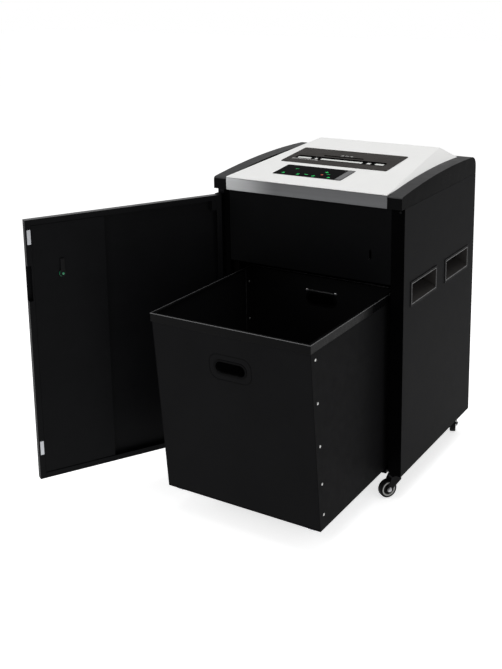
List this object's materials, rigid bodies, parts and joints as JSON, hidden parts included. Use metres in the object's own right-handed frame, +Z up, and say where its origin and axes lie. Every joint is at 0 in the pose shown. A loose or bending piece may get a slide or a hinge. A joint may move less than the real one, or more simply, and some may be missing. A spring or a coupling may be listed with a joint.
{
  "type": "paper shredder",
  "caption": "Office paper shredder cabinet on casters with a side-hinged door, a pull-out sheet-metal bin, a sloping white head and a geared twin-shaft cutter drive.",
  "frame": {"origin": "on the floor, under the middle of the rest pose's bounding box (door open, bin drawn out)", "axes": "+X to the machine's right as seen from the front, +Y to its back, +Z up"},
  "size_m": [0.832, 0.995, 0.8795],
  "materials": {
    "powder_black": "satin powder coat",
    "bin_black": "fine texture powder coat",
    "dark_plastic": "fine grained charcoal",
    "white_plastic": "satin off-white",
    "brown_plastic": "satin brown-grey",
    "gloss_black": "gloss black film",
    "black_plastic": "fine grained black",
    "brushed_metal": "brushed along its length",
    "steel": "machined",
    "zinc": "zinc plated",
    "cast_grey": "painted cast grey",
    "rubber": "grey tread on a pale hub",
    "green_nut": "green lock nut and barrel"
  },
  "bodies": {
    "cabinet": {"side_panel_left": "powder_black", "side_panel_right": "powder_black", "back_panel": "powder_black", "base_pan": "powder_black", "front_skirt": "powder_black", "chassis_plate": "steel", "handle_cup_left_front": "black_plastic", "handle_cup_left_rear": "black_plastic", "handle_cup_right_front": "black_plastic", "handle_cup_right_rear": "black_plastic", "power_inlet": "black_plastic", "hinge_bracket_upper": "powder_black", "hinge_bracket_lower": "powder_black", "magnet_catch_upper": "black_plastic", "magnet_catch_lower": "black_plastic", "slide_rail_left": "zinc", "slide_rail_right": "zinc", "end_cap_left": "dark_plastic", "end_cap_right": "dark_plastic", "rear_bar": "dark_plastic", "top_cover": "white_plastic", "front_strip": "brushed_metal", "entry_plate": "brown_plastic", "control_panel": "gloss_black", "throat_guide": "black_plastic", "cutter_plate_left": "cast_grey", "cutter_plate_right": "cast_grey", "motor": "cast_grey"},
    "rocker": {"rocker_switch": "black_plastic"},
    "cutter_front": {"cutter_shaft_front": "steel", "cutter_gear_front": "steel"},
    "cutter_rear": {"cutter_shaft_rear": "steel", "cutter_gear_rear": "steel", "drive_gear": "steel"},
    "idler": {"reduction_gear": "steel"},
    "rotor": {"motor_pinion": "steel"},
    "door": {"door_shell": "powder_black", "door_stiffener": "powder_black", "lock_body": "green_nut", "strike_upper": "steel", "strike_lower": "steel", "hinge_block_upper": "powder_black", "hinge_block_lower": "powder_black"},
    "lock_cam": {"lock_cam": "black_plastic"},
    "bin": {"bin_wrap": "bin_black", "bin_front": "bin_black", "bin_back": "bin_black", "bin_rim": "bin_black", "bin_runner_left": "zinc", "bin_runner_right": "zinc"},
    "slide_middles": {"slide_middle_left": "zinc", "slide_middle_right": "zinc"},
    "swivel_front_left": {"caster_fork_front_left": "black_plastic"},
    "wheel_front_left": {"caster_wheel_front_left": "rubber"},
    "swivel_front_right": {"caster_fork_front_right": "black_plastic"},
    "wheel_front_right": {"caster_wheel_front_right": "rubber"},
    "swivel_rear_left": {"caster_fork_rear_left": "black_plastic"},
    "wheel_rear_left": {"caster_wheel_rear_left": "rubber"},
    "swivel_rear_right": {"caster_fork_rear_right": "black_plastic"},
    "wheel_rear_right": {"caster_wheel_rear_right": "rubber"}
  },
  "joints": [
    {"name": "door_hinge", "type": "hinge", "parent": "cabinet", "child": "door", "pos_m": [-0.13781, -0.01527, 0.428], "axis": [0, 0, -1], "range_deg": [-27, 60]},
    {"name": "lock_cam_turn", "type": "hinge", "parent": "door", "child": "lock_cam", "pos_m": [-0.35302, -0.41859, 0.63], "axis": [0.8704, -0.4924, 0], "range_deg": [0, 90]},
    {"name": "bin_pull", "type": "slide", "parent": "cabinet", "child": "bin", "axis": [0, -1, 0], "range_m": [-0.396, 0.04]},
    {"name": "slide_middle_travel", "type": "slide", "parent": "cabinet", "child": "slide_middles", "axis": [0, -1, 0], "range_m": [-0.198, 0.02]},
    {"name": "cutter_front_spin", "type": "hinge", "parent": "cabinet", "child": "cutter_front", "pos_m": [0.12419, 0.19123, 0.682], "axis": [1, 0, 0], "continuous": true},
    {"name": "cutter_rear_spin", "type": "hinge", "parent": "cabinet", "child": "cutter_rear", "pos_m": [0.12419, 0.23723, 0.682], "axis": [1, 0, 0], "continuous": true},
    {"name": "reduction_gear_spin", "type": "hinge", "parent": "cabinet", "child": "idler", "pos_m": [-0.05481, 0.30223, 0.682], "axis": [1, 0, 0], "continuous": true},
    {"name": "motor_spin", "type": "hinge", "parent": "cabinet", "child": "rotor", "pos_m": [-0.05481, 0.36098, 0.682], "axis": [1, 0, 0], "continuous": true},
    {"name": "rocker_tilt", "type": "hinge", "parent": "cabinet", "child": "rocker", "pos_m": [-0.02181, 0.49123, 0.702], "axis": [1, 0, 0], "range_deg": [0, 18]},
    {"name": "swivel_front_left_turn", "type": "hinge", "parent": "cabinet", "child": "swivel_front_left", "pos_m": [-0.11581, 0.02773, 0.062], "axis": [0, 0, 1], "continuous": true},
    {"name": "wheel_front_left_roll", "type": "hinge", "parent": "swivel_front_left", "child": "wheel_front_left", "pos_m": [-0.10567, 0.00598, 0.025], "axis": [0.9063, 0.4226, 0], "continuous": true},
    {"name": "swivel_front_right_turn", "type": "hinge", "parent": "cabinet", "child": "swivel_front_right", "pos_m": [0.38419, 0.02773, 0.062], "axis": [0, 0, 1], "continuous": true},
    {"name": "wheel_front_right_roll", "type": "hinge", "parent": "swivel_front_right", "child": "wheel_front_right", "pos_m": [0.37077, 0.00783, 0.025], "axis": [0.829, -0.5592, 0], "continuous": true},
    {"name": "swivel_rear_left_turn", "type": "hinge", "parent": "cabinet", "child": "swivel_rear_left", "pos_m": [-0.11581, 0.44773, 0.062], "axis": [0, 0, 1], "continuous": true},
    {"name": "wheel_rear_left_roll", "type": "hinge", "parent": "swivel_rear_left", "child": "wheel_rear_left", "pos_m": [-0.1076, 0.47028, 0.025], "axis": [-0.9397, 0.342, 0], "continuous": true},
    {"name": "swivel_rear_right_turn", "type": "hinge", "parent": "cabinet", "child": "swivel_rear_right", "pos_m": [0.38419, 0.44773, 0.062], "axis": [0, 0, 1], "continuous": true},
    {"name": "wheel_rear_right_roll", "type": "hinge", "parent": "swivel_rear_right", "child": "wheel_rear_right", "pos_m": [0.37578, 0.47021, 0.025], "axis": [-0.9367, -0.3502, 0], "continuous": true}
  ],
  "couplings": [
    {"joint": "slide_middle_travel", "follows": "bin_pull", "ratio": 0.5},
    {"joint": "cutter_rear_spin", "follows": "cutter_front_spin", "ratio": -1},
    {"joint": "reduction_gear_spin", "follows": "cutter_front_spin", "ratio": 0.73333},
    {"joint": "motor_spin", "follows": "cutter_front_spin", "ratio": -1.2941}
  ]
}
